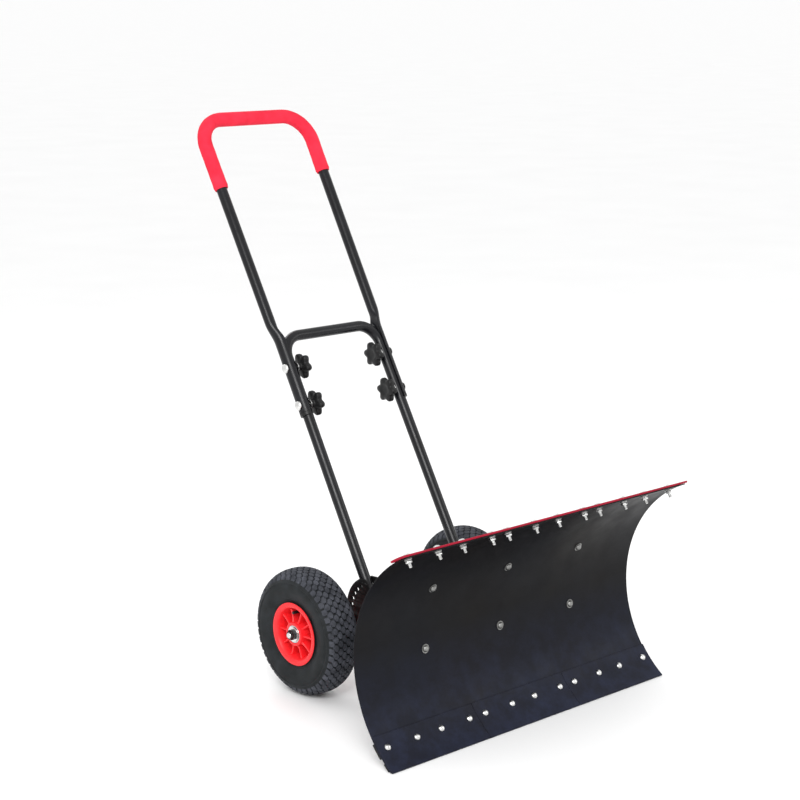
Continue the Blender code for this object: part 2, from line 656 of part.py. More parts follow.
def build_knobs():
    """Star knobs: six lobes, with a blind bore for the bolt's end."""
    lobes, per_lobe = 6, 4
    start = TUBE_R + GAP + KNOB_WASHER_T + GAP
    for name, (spot, axis) in handle_bolt_places().items():
        rings = []
        for along, size in ((0.0, 0.33), (0.0070, 0.35), (0.0080, 1.0), (0.0220, 1.0)):
            ring = []
            for k in range(lobes * per_lobe):
                turn = tau * k / (lobes * per_lobe)
                wave = 0.13 * cos(lobes * turn) if size > 0.5 else 0.0
                reach = KNOB_R * (size + wave)
                ring.append(Vector((-axis.x * (start + along), reach * cos(turn), reach * sin(turn))))
            rings.append(ring)
        bm = bmesh.new()
        skin_rings(bm, rings, closed=False)
        knob = finish("knob_" + name, bm, PLASTIC, spot, TILT_FRAME)
        bore_middle = Vector((-axis.x * (start + 0.0065), 0, 0))
        drill(knob, [(bore_middle, ACROSS, 0.0042, 0.0090)])


build_blade()
cross_angle("cross_angle_lower", RIB_BOLT_ANGLES[0], -1)
cross_angle("cross_angle_upper", RIB_BOLT_ANGLES[1], 1)
build_side_plates()
build_braces()
build_axle()
build_wheel("left", -1)
build_wheel("right", 1)
build_lower_frame()
build_upper_handle()
build_handle_hardware()
build_knobs()
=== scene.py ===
"""Looks of the wheeled snow shovel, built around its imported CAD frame. Metres, +Z up."""
import json
from math import asin, atan2, cos, degrees, pi, radians, sin, tau

import bmesh
import bpy
from mathutils import Matrix, Vector


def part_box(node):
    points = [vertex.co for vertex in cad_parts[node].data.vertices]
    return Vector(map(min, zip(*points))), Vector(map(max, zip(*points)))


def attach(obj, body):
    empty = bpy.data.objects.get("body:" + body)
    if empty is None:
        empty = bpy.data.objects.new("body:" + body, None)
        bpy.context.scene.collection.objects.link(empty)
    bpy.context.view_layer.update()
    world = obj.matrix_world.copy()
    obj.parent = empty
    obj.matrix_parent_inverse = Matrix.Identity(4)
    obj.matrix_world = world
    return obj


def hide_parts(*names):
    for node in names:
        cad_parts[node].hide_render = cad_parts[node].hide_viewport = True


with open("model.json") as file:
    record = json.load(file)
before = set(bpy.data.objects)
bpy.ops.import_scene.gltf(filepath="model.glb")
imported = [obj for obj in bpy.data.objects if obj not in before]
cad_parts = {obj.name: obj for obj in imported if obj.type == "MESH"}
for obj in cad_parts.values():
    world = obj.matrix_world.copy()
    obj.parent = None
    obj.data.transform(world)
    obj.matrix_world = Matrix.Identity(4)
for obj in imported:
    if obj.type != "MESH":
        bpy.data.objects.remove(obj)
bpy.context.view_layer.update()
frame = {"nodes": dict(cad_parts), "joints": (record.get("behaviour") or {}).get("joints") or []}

NODES = frame["nodes"]
JOINTS = {joint["name"]: joint for joint in frame["joints"]}
PIVOT = Vector(JOINTS["handle_tilt"]["pos_m"])
WHEEL_RIGHT = Vector(JOINTS["wheel_right_spin"]["pos_m"])
AXLE = Vector((0, WHEEL_RIGHT.y, WHEEL_RIGHT.z))
WHEEL_R = WHEEL_RIGHT.z
WHEEL_X = WHEEL_RIGHT.x
ACROSS = Vector((1, 0, 0))

# ---------------------------------------------------------------- sizes, as in the CAD
GAP = 0.0003
BLADE_WIDTH, RAIL_WIDTH, RIB_WIDTH = 0.740, 0.757, 0.030
BLADE_AXIS = AXLE + Vector((0, -0.5456, 0.1928 - WHEEL_R))
FRONT_R = 0.2340                    # front face of the blade's sheet
SHEET_T, WEAR_T, BAR_T, RAIL_T, HEM_T = 0.0020, 0.0030, 0.0050, 0.0040, 0.0035
LAYER_R = FRONT_R + SHEET_T + GAP   # front face of what is bolted on behind the sheet
TOP_ANGLE, RAIL_FOOT_ANGLE = 67.2, 57.0
TOP_BOLT_ANGLE, LOW_BOLT_ANGLE = 60.0, -43.4
WEAR_TOP_ANGLE, HEM_TOP_ANGLE = -37.0, -49.6
CLAMP_HALF_ANGLE, RIB_INSET_ANGLE = 3.6, 0.1
STRIP_WIDTH = BLADE_WIDTH / 3
STRIP_BOLTS = (-0.1025, -0.0305, 0.0305, 0.1025)
STRIPS = {"left": -STRIP_WIDTH, "center": 0.0, "right": STRIP_WIDTH}
BOLT_XS = [x + dx for x in STRIPS.values() for dx in STRIP_BOLTS]
RIBS = {"left": -0.197, "center": 0.0, "right": 0.197}
RIB_BOLT_ANGLES = (-6.5, 24.0)
ANGLE_LEG, ANGLE_T, ANGLE_HALF = 0.030, 0.003, 0.230
BOLT_R, BOLT_TAIL = 0.0030, 0.008
HUB_HALF, BEARING_R, BEARING_W = 0.0343, 0.0175, 0.0110
AXLE_R, AXLE_END_R, AXLE_END, SPACER_R = 0.0080, 0.0060, 0.0136, 0.0115
RIM_R = 0.0629
LEG_TILT = radians(30.26)
LEG_BASE = AXLE + Vector((0, -0.1147, 0.1483 - WHEEL_R))
LEG_UP = Vector((0, sin(LEG_TILT), cos(LEG_TILT)))
LEG_BACK = Vector((0, cos(LEG_TILT), -sin(LEG_TILT)))
TUBE_R, TUBE_BORE, TUBE_WALL = 0.0110, 0.0095, 0.0015
LOWER_FOOT_X, LOWER_TOP_X, LOWER_FOOT_L, LOWER_TOP_L = 0.1278, 0.1243, 0.0050, 0.6063
UPPER_FOOT_X, UPPER_TOP_X, UPPER_FOOT_L, UPPER_TOP_L = 0.1357, 0.1412, 0.4453, 1.0924
LOWER_BEND_R, UPPER_BEND_R = 0.045, 0.060
CRADLE_TOP_L, ROUND_L, CRADLE_IN_R, CRADLE_OUT_R = 0.596, 0.640, 0.0113, 0.0150
HANDLE_BOLT_LS = {"lower": 0.461, "upper": 0.541}
GRIP_FOOT_LS, GRIP_R = (0.937, 0.959), 0.0146
PLATE_XS = {"inner": 0.1140, "outer": 0.1420}
PLATE_T = 0.0040
HANDLE_BOLT_R, PIVOT_BOLT_R, PIVOT_HOLE_R = 0.0040, 0.0050, 0.0054
KNOB_WASHER_T = 0.0015
SECTOR_R, INDEX_R, INDEX_HOLE_R, INDEX_STEP, INDEX_COUNT = 0.0700, 0.0550, 0.0036, 13.5, 5
SIDES = {"left": -1, "right": 1}

# ---------------------------------------------------------------- sizes of the finer shapes
SEAT = 0.0001                       # hairline between a fastener and the face it sits on
NUT_FLATS, NUT_BORE = 0.0105, 0.0031
WASHER_BORE = 0.0033
ROOT_R = 0.003                      # fillet inside the steel angles
TYRE_HALF, TYRE_WAIST, TYRE_POWER = 0.0389, 0.0940, 2.5
GROOVE = 0.0042
PITCHES = 46                        # tread blocks round the tyre in each row
# Each row is (shift in pitches, stations); see tread_block for a station.
TREAD_ROWS = (
    (0.0, ((-0.0058, 0.06, 0), (-0.0023, 0.37, 0), (0.0023, 0.37, 0), (0.0058, 0.06, 0))),
    (0.5, ((0.0041, 0.05, 0), (0.0071, 0.37, 0), (0.0109, 0.37, 0), (0.0143, 0.06, 0))),
    (0.0, ((0.0126, 0.05, 0), (0.0157, 0.37, 0), (0.0194, 0.37, 0), (0.0228, 0.06, 0))),
    (0.5, ((0.0212, 0.05, 0), (0.0243, 0.37, 0), (0.0275, 0.37, 0.02), (0.0302, 0.08, 0.05))),
    (0.0, ((0.0287, 0.05, 0), (0.0309, 0.34, 0.03), (0.0340, 0.36, 0.07), (0.0364, 0.30, 0.10))),
)
RIM_RIBS = 10
GRIP_RINGS = 14
KNOB_LOBES, LOBE_SIDES = 6, 14
FLOOR_HALF = 300.0


# ---------------------------------------------------------------- materials
class Nodes:
    """A new material with its Principled shader, and short ways to add and join nodes."""

    def __init__(self, name, roughness, metallic=0.0, **sockets):
        self.mat = bpy.data.materials.new(name)
        self.mat.use_nodes = True
        self.tree = self.mat.node_tree
        self.shader = self.tree.nodes["Principled BSDF"]
        self.shader.inputs["Roughness"].default_value = roughness
        self.shader.inputs["Metallic"].default_value = metallic
        for socket, value in sockets.items():
            self.shader.inputs[socket.replace("_", " ")].default_value = value
        self.place = self.add("ShaderNodeTexCoord").outputs["Object"]

    def add(self, kind, **values):
        node = self.tree.nodes.new(kind)
        for key, value in values.items():
            if hasattr(node, key):
                setattr(node, key, value)
            else:
                node.inputs[key].default_value = value
        return node

    def link(self, out, into):
        self.tree.links.new(out, into)

    def scaled(self, stretch):
        mapping = self.add("ShaderNodeMapping")
        mapping.inputs["Scale"].default_value = stretch
        self.link(self.place, mapping.inputs["Vector"])
        return mapping.outputs["Vector"]

    def noise(self, scale, detail=4.0, rough=0.55, stretch=None):
        node = self.add("ShaderNodeTexNoise", Scale=scale, Detail=detail, Roughness=rough)
        self.link(self.scaled(stretch) if stretch else self.place, node.inputs["Vector"])
        return node.outputs["Fac"]

    def span(self, fac, low, high, from_low=0.3, from_high=0.7):
        node = self.add("ShaderNodeMapRange")
        ends = {"From Min": from_low, "From Max": from_high, "To Min": low, "To Max": high}
        for key, value in ends.items():
            node.inputs[key].default_value = value
        self.link(fac, node.inputs["Value"])
        return node.outputs["Result"]

    def mix(self, fac, first, second):
        node = self.add("ShaderNodeMix", data_type="RGBA")
        for socket, value in ((node.inputs[6], first), (node.inputs[7], second)):
            if isinstance(value, tuple):
                socket.default_value = (*value, 1)
            else:
                self.link(value, socket)
        self.link(fac, node.inputs[0])
        return node.outputs[2]

    def bump(self, height, strength, distance):
        node = self.add("ShaderNodeBump", Strength=strength, Distance=distance)
        self.link(height, node.inputs["Height"])
        last = self.shader.inputs["Normal"]
        if last.is_linked:
            self.link(last.links[0].from_socket, node.inputs["Normal"])
        self.link(node.outputs["Normal"], last)

    def edges(self, low=0.52, high=0.60):
        """1 on the convex edges, 0 elsewhere."""
        point = self.add("ShaderNodeNewGeometry").outputs["Pointiness"]
        return self.span(point, 0.0, 1.0, low, high)

    def colour(self, out):
        self.link(out, self.shader.inputs["Base Color"])

    def rough(self, out):
        self.link(out, self.shader.inputs["Roughness"])


def coated(name, dark, light, worn, roughness, shine, peel=0.10):
    """Powder coat: slow colour drift, orange peel, and paint that has thinned on the edges."""
    n = Nodes(name, roughness, Specular_IOR_Level=shine)
    base = n.mix(n.span(n.noise(14, 3), 0, 1), dark, light)
    fleck = n.span(n.noise(220, 2), 0, 1, 0.55, 0.72)
    wear = n.add("ShaderNodeMath", operation="MULTIPLY")
    n.link(n.edges(0.56, 0.66), wear.inputs[0])
    n.link(fleck, wear.inputs[1])
    n.colour(n.mix(wear.outputs[0], base, worn))
    n.rough(n.span(n.noise(38, 4), roughness - 0.05, roughness + 0.08))
    n.bump(n.noise(420, 2), peel, 0.0004)
    return n.mat


def blade_coat():
    """Satin black sheet: long fine scuffs along the blade, and a painted bluish reflection in
    patches low down.
    """
    n = Nodes("blade_satin_black", 0.40, Specular_IOR_Level=0.10)
    drift = n.mix(n.span(n.noise(5, 3), 0, 1), (0.0052, 0.0042, 0.0036), (0.0045, 0.0048, 0.0065))
    scuffs = n.span(n.noise(60, 6, 0.65, (0.35, 9, 9)), 0, 1, 0.60, 0.80)
    scuffed = n.mix(n.span(scuffs, 0, 0.30, 0, 1), drift, (0.020, 0.021, 0.026))
    split = n.add("ShaderNodeSeparateXYZ")
    n.link(n.place, split.inputs[0])
    # Painted reflection: a lighter bluish tint in patches, strongest at the floor and gone 0.2 m up
    # the blade.
    low = n.span(split.outputs["Z"], 1.0, 0.0, 0.0, 0.20)
    low_painted_reflection = n.add("ShaderNodeMath", operation="MULTIPLY")
    n.link(low, low_painted_reflection.inputs[0])
    n.link(n.span(n.noise(26, 7, 0.7), 0.30, 0.85, 0.40, 0.75), low_painted_reflection.inputs[1])
    n.colour(n.mix(low_painted_reflection.outputs[0], scuffed, (0.019, 0.024, 0.050)))
    n.rough(n.span(n.noise(22, 5), 0.34, 0.50))
    n.bump(n.noise(300, 3), 0.06, 0.0004)
    return n.mat


def rubber(name, dark, light, grain=0.25):
    """Matt rubber, dusty in patches."""
    n = Nodes(name, 0.72, Specular_IOR_Level=0.22)
    dusty = n.span(n.noise(45, 6, 0.65), 0, 1, 0.40, 0.70)
    n.colour(n.mix(dusty, dark, light))
    n.rough(n.span(n.noise(90, 3), 0.62, 0.82))
    n.bump(n.noise(700, 3), grain, 0.0005)
    return n.mat


def foam():
    """Closed-cell foam: dense pores with painted shade in them, a faint nap, and mottled colour."""
    n = Nodes("grip_foam_red", 0.82, Specular_IOR_Level=0.15)
    pores = n.add("ShaderNodeTexVoronoi", Scale=650.0)
    n.link(n.place, pores.inputs["Vector"])
    mottle = n.mix(n.span(n.noise(30, 5), 0, 1), (0.60, 0.016, 0.038), (0.80, 0.030, 0.062))
    # Painted shade: the colour darkens toward deep red in the pits of the pores.
    pore_shade = n.span(pores.outputs["Distance"], 0.45, 0.0, 0.0, 0.30)
    n.colour(n.mix(pore_shade, mottle, (0.30, 0.004, 0.013)))
    n.bump(pores.outputs["Distance"], 0.35, 0.0006)
    n.bump(n.noise(120, 5), 0.25, 0.0010)
    return n.mat


def metal(name, dark, light, roughness):
    """Bare or plated metal with a slightly clouded shine."""
    n = Nodes(name, roughness, 1.0)
    n.colour(n.mix(n.span(n.noise(90, 4), 0, 1), dark, light))
    n.rough(n.span(n.noise(160, 4), roughness - 0.08, roughness + 0.12))
    n.bump(n.noise(400, 2), 0.08, 0.0003)
    return n.mat


def moulded(name, dark, light, roughness, shine, grain=0.12):
    """Moulded plastic: fine spark-eroded texture and slightly polished edges."""
    n = Nodes(name, roughness, Specular_IOR_Level=shine)
    n.colour(n.mix(n.span(n.noise(25, 3), 0, 1), dark, light))
    n.rough(n.span(n.noise(60, 4), roughness - 0.05, roughness + 0.09))
    n.bump(n.noise(900, 2), grain, 0.0003)
    return n.mat


BLADE = blade_coat()
BLACK = coated("tube_black_gloss", (0.0036, 0.0036, 0.0046), (0.0062, 0.0066, 0.0090),
               (0.05, 0.05, 0.05), 0.26, 0.28)
PLATE_BLACK = coated("plate_black", (0.0045, 0.0045, 0.0048), (0.0080, 0.0080, 0.0085),
                     (0.07, 0.07, 0.07), 0.38, 0.16)
RED = coated("frame_red_gloss", (0.22, 0.002, 0.015), (0.30, 0.004, 0.022),
             (0.20, 0.05, 0.06), 0.34, 0.12)
ZINC = metal("zinc_bright", (0.58, 0.58, 0.57), (0.80, 0.80, 0.79), 0.28)
DULL_ZINC = metal("zinc_dull", (0.16, 0.16, 0.155), (0.34, 0.34, 0.33), 0.42)
STEEL = metal("bearing_steel", (0.50, 0.50, 0.50), (0.70, 0.70, 0.70), 0.22)
BLACK_STEEL = metal("nut_black_oxide", (0.020, 0.020, 0.021), (0.050, 0.050, 0.052), 0.34)
TYRE = rubber("tyre_black", (0.0070, 0.0085, 0.0092), (0.020, 0.023, 0.026))
# Tread blocks: the casing's rubber painted lighter and bluer, as painted light from above on the
# crown, with dusty patches.
TREAD_PAINTED_LIGHT = rubber("tread_dusty_painted_light", (0.022, 0.024, 0.030), (0.070, 0.074, 0.090))
SEAL = rubber("seal_black", (0.010, 0.010, 0.010), (0.020, 0.020, 0.020), 0.05)
RIM = moulded("rim_red_plastic", (0.74, 0.012, 0.018), (0.84, 0.022, 0.028), 0.34, 0.32)
KNOB = moulded("knob_black_plastic", (0.0050, 0.0050, 0.0053), (0.0095, 0.0095, 0.0100),
               0.36, 0.26, 0.2)
FOAM = foam()


# ---------------------------------------------------------------- making pieces
def piece(name, bm, mat, body, nodes=(), edge=0.0, sharp=32):
    """Turn bm, in world metres, into a piece that rides on body and stands for the named nodes."""
    bmesh.ops.remove_doubles(bm, verts=bm.verts, dist=1e-6)
    bmesh.ops.recalc_face_normals(bm, faces=bm.faces)
    mesh = bpy.data.meshes.new(name)
    bm.to_mesh(mesh)
    bm.free()
    obj = bpy.data.objects.new(name, mesh)
    bpy.context.collection.objects.link(obj)
    mesh.materials.append(mat)
    mesh.shade_smooth()
    mesh.set_sharp_from_angle(angle=radians(sharp))
    if edge:
        bevel = obj.modifiers.new("edge", "BEVEL")
        bevel.width = edge
        bevel.segments = 2
        bevel.limit_method = "ANGLE"
        bevel.angle_limit = radians(40)
        bevel.harden_normals = True
    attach(obj, body)
    if nodes:
        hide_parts(*nodes)
    return obj


def skin(bm, rings, closed):
    """Bridge rings of equal count; closed joins the last ring to the first."""
    rows = [[bm.verts.new(p) for p in ring] for ring in rings]
    count = len(rings[0])
    pairs = list(zip(rows, rows[1:]))
    if closed:
        pairs.append((rows[-1], rows[0]))
    for low, high in pairs:
        for i in range(count):
            j = (i + 1) % count
            bm.faces.new((low[i], low[j], high[j], high[i]))
    if not closed:
        bm.faces.new(rows[0])
        bm.faces.new(rows[-1])


def square_to(axis):
    """The unit axis, and two directions that are square to it and to each other."""
    axis = Vector(axis).normalized()
    side = Vector((0, 0, 1)) if abs(axis.x) > 0.99 else axis.orthogonal().normalized()
    return axis, side, axis.cross(side)


def circle(centre, radius, side, other, sides):
    turns = [tau * k / sides for k in range(sides)]
    return [centre + (side * cos(t) + other * sin(t)) * radius for t in turns]


def turned(bm, profile, centre, axis, sides=40):
    """Turn (along, radius) points about an axis; a profile from radius 0 to radius 0 is solid."""
    axis, side, other = square_to(axis)
    solid = profile[0][1] == 0
    rows = [circle(centre + axis * along, radius, side, other, sides)
            for along, radius in (profile[1:-1] if solid else profile)]
    skin(bm, rows, not solid)


def washer(bm, centre, axis, start, end, radius, bore, sides=40):
    turned(bm, [(start, radius), (start, bore), (end, bore), (end, radius)], centre, axis, sides)


def thread(start, end, radius, pitch=0.00125, pore_shade=0.00035):
    """Profile points of a threaded stretch, from start to end along the bolt."""
    count = max(1, round(abs(end - start) / pitch))
    step = (end - start) / count
    points = []
    for k in range(count):
        points += [(start + step * k, radius - pore_shade), (start + step * (k + 0.5), radius)]
    return points + [(end, radius - pore_shade)]


def hex_nut(bm, centre, axis, start, end, across_flats, bore):
    """A nut with chamfered corners on both faces."""
    axis, side, other = square_to(axis)
    corner = across_flats / 2 / cos(pi / 6)
    flat = across_flats / 2 * 0.97
    chamfer = (corner - flat) * 0.6 * (1 if end > start else -1)
    sides = 24
    rows = []
    for along, limit in ((start, flat), (start + chamfer, corner),
                         (end - chamfer, corner), (end, flat)):
        ring = []
        for k in range(sides):
            turn = tau * k / sides
            hexed = across_flats / 2 / cos((turn + pi / 6) % (pi / 3) - pi / 6)
            reach = min(hexed, limit)
            ring.append(centre + axis * along + (side * cos(turn) + other * sin(turn)) * reach)
        rows.append(ring)
    rows += [circle(centre + axis * along, bore, side, other, sides) for along in (end, start)]
    skin(bm, rows, True)


def arc_point(radius, angle, x=0.0):
    turn = radians(angle)
    return BLADE_AXIS + Vector((x, radius * cos(turn), radius * sin(turn)))


def radial(angle):
    return Vector((0, cos(radians(angle)), sin(radians(angle))))


def ground_angle(radius):
    return -degrees(asin(BLADE_AXIS.z / radius))


def arc_plate(name, mat, nodes, inner, outer, low, high, width, x=0.0, edge=0.0006,
              ripple=0.0):
    """A smooth plate along the blade's arc. Ripple is how far its ends wave, as cut sheet does."""
    steps = max(2, round((high - low) / 2.0))
    angles = [low + (high - low) * k / steps for k in range(steps + 1)]
    bm = bmesh.new()
    columns = max(1, round(width / 0.06))
    rings = []
    for k in range(columns + 1):
        at = x - width / 2 + width * k / columns
        wave = ripple * sin(at * 21.0) * sin(at * 9.0 + 1.0)
        ring = [arc_point(inner + wave, a, at) for a in angles]
        ring += [arc_point(outer + wave, a, at) for a in reversed(angles)]
        rings.append(ring)
    skin(bm, rings, False)
    return piece(name, bm, mat, "chassis", nodes, edge)


# ---------------------------------------------------------------- blade
def build_blade():
    back = FRONT_R + SHEET_T
    arc_plate("sheet", BLADE, ["blade_sheet"], FRONT_R, back, ground_angle(back),
              TOP_ANGLE, BLADE_WIDTH, edge=0.0004, ripple=0.00025)
    wear_out = FRONT_R - GAP
    for side, x in STRIPS.items():
        arc_plate("strip_" + side, BLADE, ["wear_strip_" + side],
                  wear_out - WEAR_T, wear_out, ground_angle(wear_out), WEAR_TOP_ANGLE,
                  STRIP_WIDTH - 2 * GAP, x, edge=0.0007)
    arc_plate("rail", RED, ["top_rail"], LAYER_R, LAYER_R + RAIL_T,
              RAIL_FOOT_ANGLE, TOP_ANGLE, RAIL_WIDTH, edge=0.0010)
    clamp_top = LOW_BOLT_ANGLE + CLAMP_HALF_ANGLE
    arc_plate("clamp_bar", PLATE_BLACK, ["lower_clamp_bar"], LAYER_R,
              LAYER_R + BAR_T, LOW_BOLT_ANGLE - CLAMP_HALF_ANGLE, clamp_top, BLADE_WIDTH,
              edge=0.0007)
    hem = LAYER_R + HEM_T
    arc_plate("edge_bar", PLATE_BLACK, ["bottom_edge_bar"], LAYER_R, hem,
              ground_angle(hem), HEM_TOP_ANGLE, BLADE_WIDTH, edge=0.0006)
    for side, x in RIBS.items():
        arc_plate("flat_rib_" + side, RED, ["rib_" + side], LAYER_R, LAYER_R + BAR_T,
                  clamp_top + RIB_INSET_ANGLE, RAIL_FOOT_ANGLE - RIB_INSET_ANGLE, RIB_WIDTH, x,
                  edge=0.0008)


def row(angle, xs):
    return [(arc_point(FRONT_R, angle, x), radial(angle)) for x in xs]


def domed_bolt(bm, spot, axis, front, tail):
    """A round head in front of the blade; its threaded end shows behind."""
    head = [(front - 0.0046, 0), (front - 0.0046, 0.0012), (front - 0.0043, 0.0030),
            (front - 0.0034, 0.0048), (front - 0.0020, 0.0061), (front - 0.0006, 0.0067),
            (front, 0.0067), (front, BOLT_R)]
    shank = thread(tail - 0.014, tail - 0.0005, BOLT_R) + [(tail, 0.0020), (tail, 0)]
    turned(bm, head + shank, spot, axis, 24)


def blade_nut(bm, spot, axis, start, height):
    hex_nut(bm, spot, axis, start, start + height, NUT_FLATS, NUT_BORE)


def build_top_bolts():
    """Heads above the rail; washers, nuts and thread ends hang below the blade's front lip."""
    head = SHEET_T + GAP + RAIL_T
    profile = [(head + 0.0044, 0), (head + 0.0044, 0.0022), (head + 0.0038, 0.0045),
               (head + 0.0022, 0.0062), (head, 0.0068), (head, BOLT_R)]
    profile += thread(-0.0020, -0.0150, BOLT_R) + [(-0.0156, 0.0020), (-0.0156, 0)]
    bolts, washers, nuts = bmesh.new(), bmesh.new(), bmesh.new()
    for index, (spot, axis) in enumerate(row(TOP_BOLT_ANGLE, BOLT_XS)):
        turned(bolts, profile, spot, axis, 24)
        washer(washers, spot, axis, -SEAT, -0.0014, 0.0073, WASHER_BORE, 28)
        turn = Matrix.Rotation(0.7 * index, 4, axis)
        before = len(nuts.verts)
        blade_nut(nuts, spot, axis, -0.0016, -0.0056)
        nuts.verts.ensure_lookup_table()
        for vert in nuts.verts[before:]:
            vert.co = spot + turn @ (vert.co - spot)
    piece("top_bolts", bolts, ZINC, "chassis")
    piece("top_washers", washers, ZINC, "chassis", edge=0.0002)
    piece("top_nuts", nuts, ZINC, "chassis")


def build_face_bolts():
    """The wear strips' row of bolts, then the six bolts that hold the ribs and cross angles."""
    clamp_back = SHEET_T + GAP + BAR_T
    bolts, nuts = bmesh.new(), bmesh.new()
    for spot, axis in row(LOW_BOLT_ANGLE, BOLT_XS):
        domed_bolt(bolts, spot, axis, -GAP - WEAR_T, clamp_back + BOLT_TAIL)
        blade_nut(nuts, spot, axis, clamp_back + SEAT, 0.0055)
    piece("wear_strip_bolts", bolts, ZINC, "chassis")
    piece("wear_strip_nuts", nuts, ZINC, "chassis")

    bolts, washers, nuts = bmesh.new(), bmesh.new(), bmesh.new()
    angle_back = clamp_back + GAP + ANGLE_T
    for angle in RIB_BOLT_ANGLES:
        for spot, axis in row(angle, RIBS.values()):
            washer(washers, spot, axis, -SEAT, -0.0015, 0.0088, WASHER_BORE, 32)
            domed_bolt(bolts, spot, axis, -0.0016, angle_back + BOLT_TAIL)
            blade_nut(nuts, spot, axis, angle_back + SEAT, 0.0055)
    piece("rib_bolts", bolts, DULL_ZINC, "chassis")
    piece("rib_washers", washers, DULL_ZINC, "chassis", edge=0.0002)
    piece("rib_nuts", nuts, ZINC, "chassis")


# ---------------------------------------------------------------- plates cut from sheet
def cut_plate(name, outline, holes, x, thickness, mat, nodes):
    """A plate in the YZ plane from an outline and round holes (y, z, radius), with eased edges."""
    curve = bpy.data.curves.new(name, "CURVE")
    curve.dimensions = "2D"
    curve.fill_mode = "BOTH"
    loops = [list(outline)]
    turns = [tau * k / 24 for k in range(24)]
    for y, z, radius in holes:
        loops.append([(y + radius * cos(t), z + radius * sin(t)) for t in turns])
    for loop in loops:
        spline = curve.splines.new("POLY")
        spline.points.add(len(loop) - 1)
        for point, (y, z) in zip(spline.points, loop):
            point.co = (y, z, 0, 1)
        spline.use_cyclic_u = True
    ease = 0.0004
    curve.extrude = thickness / 2 - ease
    curve.bevel_depth = ease
    curve.bevel_resolution = 1
    curve.offset = -ease
    holder = bpy.data.objects.new(name + "_curve", curve)
    bpy.context.collection.objects.link(holder)
    bpy.context.view_layer.update()
    graph = bpy.context.evaluated_depsgraph_get()
    mesh = bpy.data.meshes.new_from_object(holder.evaluated_get(graph))
    bpy.data.objects.remove(holder)
    bm = bmesh.new()
    bm.from_mesh(mesh)
    bpy.data.meshes.remove(mesh)
    bm.transform(Matrix(((0, 0, 1, x), (1, 0, 0, 0), (0, 1, 0, 0), (0, 0, 0, 1))))
    return piece(name, bm, mat, "chassis", nodes)


def arc_outline(centre, radius, start, end, steps):
    turns = [radians(start + (end - start) * k / steps) for k in range(steps + 1)]
    return [(centre[0] + radius * cos(t), centre[1] + radius * sin(t)) for t in turns]


def frame_point(angle, radius, along):
    """(y, z) at a radius of the blade's arc, then along the tangent upwards."""
    out = radial(angle)
    return (BLADE_AXIS.y + out.y * radius - out.z * along,
            BLADE_AXIS.z + out.z * radius + out.y * along)


def build_plates():
    """Two sector plates on each side, with the index holes, and a strut up to the upper angle."""
    low, high = RIB_BOLT_ANGLES
    front = LAYER_R + BAR_T + GAP + ANGLE_T + GAP
    shelf = -ANGLE_LEG / 2 + ANGLE_T + GAP
    outline = [frame_point(low, front, 0.014), frame_point(low, front, shelf),
               frame_point(low, front + 0.032, shelf)]
    outline += arc_outline((AXLE.y, AXLE.z), 0.021, -96, 62, 24)
    outline += arc_outline((PIVOT.y, PIVOT.z), SECTOR_R, -12, 64, 30)
    outline += arc_outline((PIVOT.y + 0.0185, PIVOT.z + 0.0515), 0.0120, 72, 168, 12)
    outline += [(PIVOT.y - 0.018, PIVOT.z + 0.030), (PIVOT.y - 0.045, PIVOT.z + 0.014)]
    holes = [(PIVOT.y, PIVOT.z, PIVOT_HOLE_R), (AXLE.y, AXLE.z, AXLE_R + GAP)]
    for k in range(INDEX_COUNT):
        turn = pi / 2 - LEG_TILT - radians(k * INDEX_STEP)
        holes.append((PIVOT.y + INDEX_R * cos(turn), PIVOT.z + INDEX_R * sin(turn), INDEX_HOLE_R))
    for side, sign in SIDES.items():
        for place, x in PLATE_XS.items():
            cut_plate(f"sector_plate_{side}_{place}", outline, holes, sign * x, PLATE_T,
                      PLATE_BLACK, [f"side_plate_{side}_{place}"])
    roof = ANGLE_LEG / 2 - ANGLE_T - GAP
    strut = [frame_point(high, front, roof), frame_point(high, front, roof - 0.024),
             (AXLE.y - 0.200, 0.158), (AXLE.y - 0.170, 0.163),
             frame_point(high, front + 0.024, roof)]
    x = PLATE_XS["outer"] + PLATE_T + GAP
    for side, sign in SIDES.items():
        cut_plate("strut_" + side, strut, [], sign * x, PLATE_T, PLATE_BLACK,
                  ["brace_" + side])


def build_cross_angles():
    """Rolled steel angle: a root fillet inside and eased toes."""
    face = LAYER_R + BAR_T + GAP
    for name, angle, up in (("lower", RIB_BOLT_ANGLES[0], -1), ("upper", RIB_BOLT_ANGLES[1], 1)):
        half, toe = ANGLE_LEG / 2, 0.0005
        corners = [(0, up * half), (ANGLE_LEG, up * half), (ANGLE_LEG, up * (half - ANGLE_T + toe)),
                   (ANGLE_LEG - toe, up * (half - ANGLE_T))]
        fillet = [(ANGLE_T + ROOT_R * (1 - sin(t)), up * (half - ANGLE_T - ROOT_R * (1 - cos(t))))
                  for t in (0, pi / 8, pi / 4, 3 * pi / 8, pi / 2)]
        corners += fillet + [(ANGLE_T, up * (toe - half)), (ANGLE_T - toe, -up * half),
                             (0, -up * half)]
        bm = bmesh.new()
        rings = [[Vector((x, *frame_point(angle, face + r, t))) for r, t in corners]
                 for x in (-ANGLE_HALF, ANGLE_HALF)]
        skin(bm, rings, False)
        piece("rolled_angle_" + name, bm, RED, "chassis", ["cross_angle_" + name],
              edge=0.0005)


